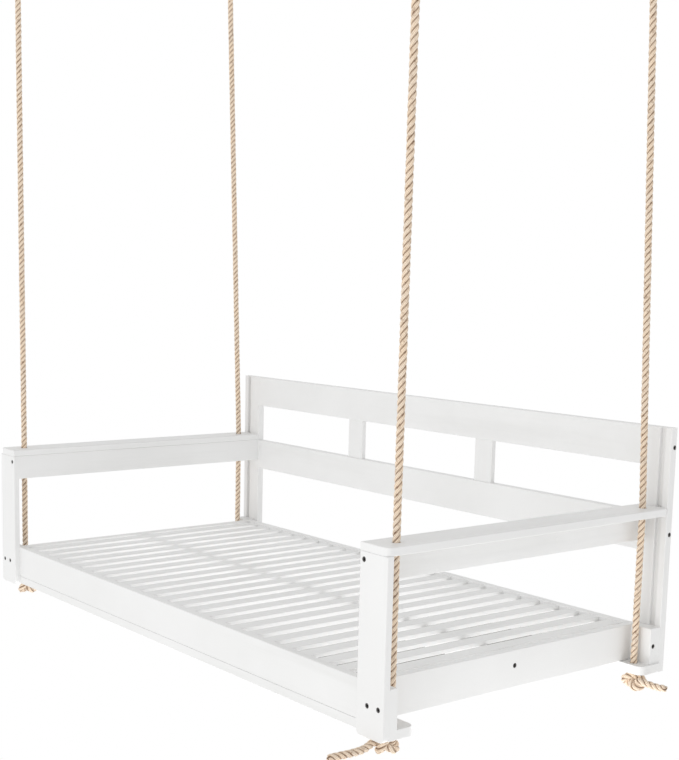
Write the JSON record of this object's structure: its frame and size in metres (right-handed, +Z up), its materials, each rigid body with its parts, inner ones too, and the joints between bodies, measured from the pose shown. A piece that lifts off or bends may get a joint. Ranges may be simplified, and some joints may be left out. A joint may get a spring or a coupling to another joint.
{
  "type": "porch swing daybed",
  "caption": "Slatted wooden daybed with low arms and an open back, hung by knotted ropes through its corners from eye plates on a porch ceiling.",
  "frame": {"origin": "on the ceiling, midway between the four eye plates", "axes": "+X along the seat's length to its right, -Y out of the open front, +Z up"},
  "size_m": [2.274, 1.224, 2.5143],
  "materials": {
    "painted_wood": "white satin paint over planed softwood",
    "painted_plug": "painted wooden plug",
    "dark_steel": "dark sunk bolt heads",
    "rope": "three-strand laid rope, light tan",
    "zinc_steel": "bright zinc plate"
  },
  "bodies": {
    "ceiling_plates": {"eye_plates": "zinc_steel"},
    "hanger_front_left": {"link_front_left": "zinc_steel", "link_sleeve_front_left": "zinc_steel", "thimble_front_left": "zinc_steel", "rope_eye_front_left": "rope", "upper_rope_front_left": "rope"},
    "hanger_front_right": {"link_front_right": "zinc_steel", "link_sleeve_front_right": "zinc_steel", "thimble_front_right": "zinc_steel", "rope_eye_front_right": "rope", "upper_rope_front_right": "rope"},
    "hanger_back_left": {"link_back_left": "zinc_steel", "link_sleeve_back_left": "zinc_steel", "thimble_back_left": "zinc_steel", "rope_eye_back_left": "rope", "upper_rope_back_left": "rope"},
    "hanger_back_right": {"link_back_right": "zinc_steel", "link_sleeve_back_right": "zinc_steel", "thimble_back_right": "zinc_steel", "rope_eye_back_right": "rope", "upper_rope_back_right": "rope"},
    "seat": {"front_rail": "painted_wood", "back_rail": "painted_wood", "end_rail_left": "painted_wood", "end_rail_right": "painted_wood", "centre_rail": "painted_wood", "front_ledger": "painted_wood", "back_ledger": "painted_wood", "slats": "painted_wood", "front_bearer": "painted_wood", "back_bearer": "painted_wood", "front_blocks": "painted_wood", "back_blocks": "painted_wood", "front_post_left": "painted_wood", "front_post_right": "painted_wood", "back_post_left": "painted_wood", "back_post_right": "painted_wood", "armrest_left": "painted_wood", "armrest_right": "painted_wood", "apron_left": "painted_wood", "apron_right": "painted_wood", "apron_plugs": "painted_plug", "back_top_rail": "painted_wood", "back_mid_rail": "painted_wood", "spindles": "painted_wood", "short_bolts": "dark_steel", "medium_bolts": "dark_steel", "long_bolts": "dark_steel", "lower_rope_front_left": "rope", "lower_rope_front_right": "rope", "lower_rope_back_left": "rope", "lower_rope_back_right": "rope", "knot_front_left": "rope", "knot_front_right": "rope", "knot_back_left": "rope", "knot_back_right": "rope"}
  },
  "joints": [
    {"name": "swing", "type": "hinge", "parent": "ceiling_plates", "child": "hanger_front_left", "pos_m": [-1.032, -0.4265, -0.045], "axis": [1, 0, 0], "range_deg": [-10, 10]},
    {"name": "swing_front_right", "type": "hinge", "parent": "ceiling_plates", "child": "hanger_front_right", "pos_m": [1.032, -0.4265, -0.045], "axis": [1, 0, 0], "range_deg": [-11, 11]},
    {"name": "swing_back_left", "type": "hinge", "parent": "ceiling_plates", "child": "hanger_back_left", "pos_m": [-1, 0.4265, -0.045], "axis": [1, 0, 0], "range_deg": [-11, 11]},
    {"name": "swing_back_right", "type": "hinge", "parent": "ceiling_plates", "child": "hanger_back_right", "pos_m": [1, 0.4265, -0.045], "axis": [1, 0, 0], "range_deg": [-11, 11]},
    {"name": "seat_level", "type": "hinge", "parent": "hanger_front_left", "child": "seat", "pos_m": [-1.018, -0.4265, -1.988], "axis": [1, 0, 0], "range_deg": [-10, 10]}
  ],
  "couplings": [
    {"joint": "swing_front_right", "follows": "swing", "ratio": 1},
    {"joint": "swing_back_left", "follows": "swing", "ratio": 1},
    {"joint": "swing_back_right", "follows": "swing", "ratio": 1},
    {"joint": "seat_level", "follows": "swing", "ratio": -0.90693}
  ]
}
